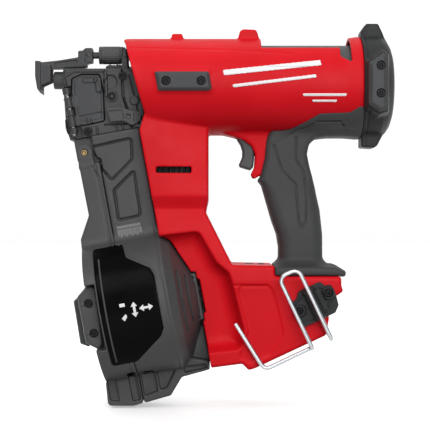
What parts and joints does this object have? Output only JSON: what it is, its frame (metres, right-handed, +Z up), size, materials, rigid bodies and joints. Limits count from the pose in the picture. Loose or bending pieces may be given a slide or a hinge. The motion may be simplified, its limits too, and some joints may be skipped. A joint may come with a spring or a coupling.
{
  "type": "coil roofing nail gun",
  "caption": "Hand-held battery nail driver with a tilted round coil magazine, barrel housing, rubber grip, battery foot and a fold-out wire hook.",
  "frame": {"origin": "mouth of the nail bore in the nosepiece, on the drive axis", "axes": "nails leave along -X, +Z is up with the grip hanging down, the tool's left side faces -Y"},
  "size_m": [0.3092, 0.124, 0.3278],
  "materials": {
    "red_shell": "satin",
    "black_overmould": "matte",
    "black_plastic": "satin",
    "black_steel": "satin",
    "dark_screw": "satin",
    "bright_steel": "brushed",
    "zinc_wire": "satin",
    "cast_aluminium": "satin",
    "smoke_window": "gloss",
    "elastomer": "matte",
    "motor_windings": "satin",
    "pin_brass": "satin",
    "board_green": "satin"
  },
  "bodies": {
    "housing": {"housing_left": "red_shell", "housing_right": "red_shell", "housing_screws": "dark_screw", "grip_overmould": "black_overmould", "rear_cap": "black_plastic", "rear_side_pads": "black_overmould", "rear_pad_screws": "dark_screw", "front_side_pads": "black_overmould", "front_pad_screws": "dark_screw", "storage_cylinder": "cast_aluminium", "drive_cylinder": "bright_steel", "cylinder_head": "cast_aluminium", "piston_bumper": "elastomer", "fill_valve": "bright_steel", "ring_gear": "bright_steel", "motor_stator": "motor_windings", "motor_bearings": "bright_steel", "output_bearing": "bright_steel", "gearcase": "cast_aluminium", "nosepiece": "black_steel", "nose_hinge_pin": "bright_steel", "latch_pin": "dark_screw", "nose_bolts": "dark_screw", "contact_spring": "bright_steel", "magazine_body": "black_plastic", "canister_pivots": "pin_brass", "canister_window": "smoke_window", "feed_spring": "bright_steel", "pawl_cover": "black_plastic", "trigger_pin": "bright_steel", "trigger_spring": "bright_steel", "trigger_switch": "black_plastic", "circuit_board": "board_green", "battery_rails": "black_plastic", "battery_terminals": "pin_brass", "hook_bracket": "black_plastic", "bracket_screws": "dark_screw"},
    "driver": {"piston": "cast_aluminium", "piston_seal": "elastomer", "driver_blade": "bright_steel"},
    "lifter": {"lifter_wheel": "bright_steel", "lifter_pins": "bright_steel", "planet_carrier": "bright_steel"},
    "planet_1": {"planet_gear_1": "bright_steel"},
    "planet_2": {"planet_gear_2": "bright_steel"},
    "planet_3": {"planet_gear_3": "bright_steel"},
    "rotor": {"motor_rotor": "bright_steel", "cooling_fan": "black_plastic"},
    "nose_door": {"nose_door": "black_steel"},
    "nose_latch": {"nose_latch": "black_plastic"},
    "contact_arm": {"contact_arm": "black_steel"},
    "depth_wheel": {"depth_wheel": "black_plastic"},
    "canister_door": {"canister_door": "black_plastic", "door_pad": "black_overmould"},
    "coil_tray": {"coil_tray": "black_plastic"},
    "feed_pawl": {"feed_pawl": "black_steel"},
    "trigger": {"trigger": "black_plastic"},
    "mode_button": {"mode_button": "black_plastic"},
    "gauge_button": {"gauge_button": "black_plastic"},
    "wire_hook": {"wire_hook": "zinc_wire"}
  },
  "joints": [
    {"name": "lifter_turn", "type": "hinge", "parent": "housing", "child": "lifter", "pos_m": [0.108, 0.012, 0], "axis": [0, 0, -1], "range_deg": [0, 302.11]},
    {"name": "piston_drive", "type": "slide", "parent": "housing", "child": "driver", "axis": [-1, 0, 0], "range_m": [0, 0.0581]},
    {"name": "rotor_spin", "type": "hinge", "parent": "housing", "child": "rotor", "pos_m": [0.108, 0.012, -0.08], "axis": [0, 0, -1], "range_deg": [0, 1210]},
    {"name": "planet_spin_1", "type": "hinge", "parent": "lifter", "child": "planet_1", "pos_m": [0.1176, 0.012, -0.0525], "axis": [0, 0, -1], "range_deg": [-908, 0]},
    {"name": "planet_spin_2", "type": "hinge", "parent": "lifter", "child": "planet_2", "pos_m": [0.1032, 0.02031, -0.0525], "axis": [0, 0, -1], "range_deg": [-908, 0]},
    {"name": "planet_spin_3", "type": "hinge", "parent": "lifter", "child": "planet_3", "pos_m": [0.1032, 0.00369, -0.0525], "axis": [0, 0, -1], "range_deg": [-908, 0]},
    {"name": "nose_door_swing", "type": "hinge", "parent": "housing", "child": "nose_door", "pos_m": [0.0153, -0.0124, -0.02768], "axis": [0.1822, 0, -0.9833], "range_deg": [0, 100]},
    {"name": "latch_turn", "type": "hinge", "parent": "housing", "child": "nose_latch", "pos_m": [0.0655, -0.0184, -0.0325], "axis": [0, 1, 0], "range_deg": [0, 45]},
    {"name": "contact_press", "type": "slide", "parent": "housing", "child": "contact_arm", "axis": [1, 0, 0], "range_m": [0, 0.01], "stiffness_N_per_m": 600, "springref_m": -0.01, "deforming": ["contact_spring"]},
    {"name": "depth_wheel_turn", "type": "hinge", "parent": "contact_arm", "child": "depth_wheel", "pos_m": [0.05, 0, 0.0218], "axis": [1, 0, 0], "continuous": true},
    {"name": "canister_door_swing", "type": "hinge", "parent": "housing", "child": "canister_door", "pos_m": [0.02762, 0, -0.06343], "axis": [0, 1, 0], "range_deg": [0, 75]},
    {"name": "tray_slide", "type": "slide", "parent": "housing", "child": "coil_tray", "axis": [-0.9833, 0, -0.1822], "range_m": [0, 0.012]},
    {"name": "pawl_feed", "type": "slide", "parent": "housing", "child": "feed_pawl", "axis": [-0.1822, 0, 0.9833], "range_m": [0, 0.007], "stiffness_N_per_m": 150, "deforming": ["feed_spring"]},
    {"name": "trigger_pull", "type": "hinge", "parent": "housing", "child": "trigger", "pos_m": [0.163, 0, -0.0463], "axis": [0, -1, 0], "range_deg": [0, 10], "stiffness_Nm_per_rad": 0.6, "springref_deg": -11.46, "deforming": ["trigger_spring"]},
    {"name": "mode_press", "type": "slide", "parent": "housing", "child": "mode_button", "axis": [0, 0, -1], "range_m": [0, 0.0012], "stiffness_N_per_m": 400, "springref_m": -0.001},
    {"name": "gauge_press", "type": "slide", "parent": "housing", "child": "gauge_button", "axis": [0, 0, -1], "range_m": [0, 0.0012], "stiffness_N_per_m": 400, "springref_m": -0.001},
    {"name": "hook_swing", "type": "hinge", "parent": "housing", "child": "wire_hook", "pos_m": [0.2225, -0.0426, -0.191], "axis": [-0.4305, 0, 0.9026], "range_deg": [0, 90]}
  ],
  "couplings": [
    {"joint": "piston_drive", "follows": "lifter_turn", "m_per_rad": 0.011},
    {"joint": "rotor_spin", "follows": "lifter_turn", "ratio": 4},
    {"joint": "planet_spin_1", "follows": "lifter_turn", "ratio": -3},
    {"joint": "planet_spin_2", "follows": "lifter_turn", "ratio": -3},
    {"joint": "planet_spin_3", "follows": "lifter_turn", "ratio": -3}
  ]
}
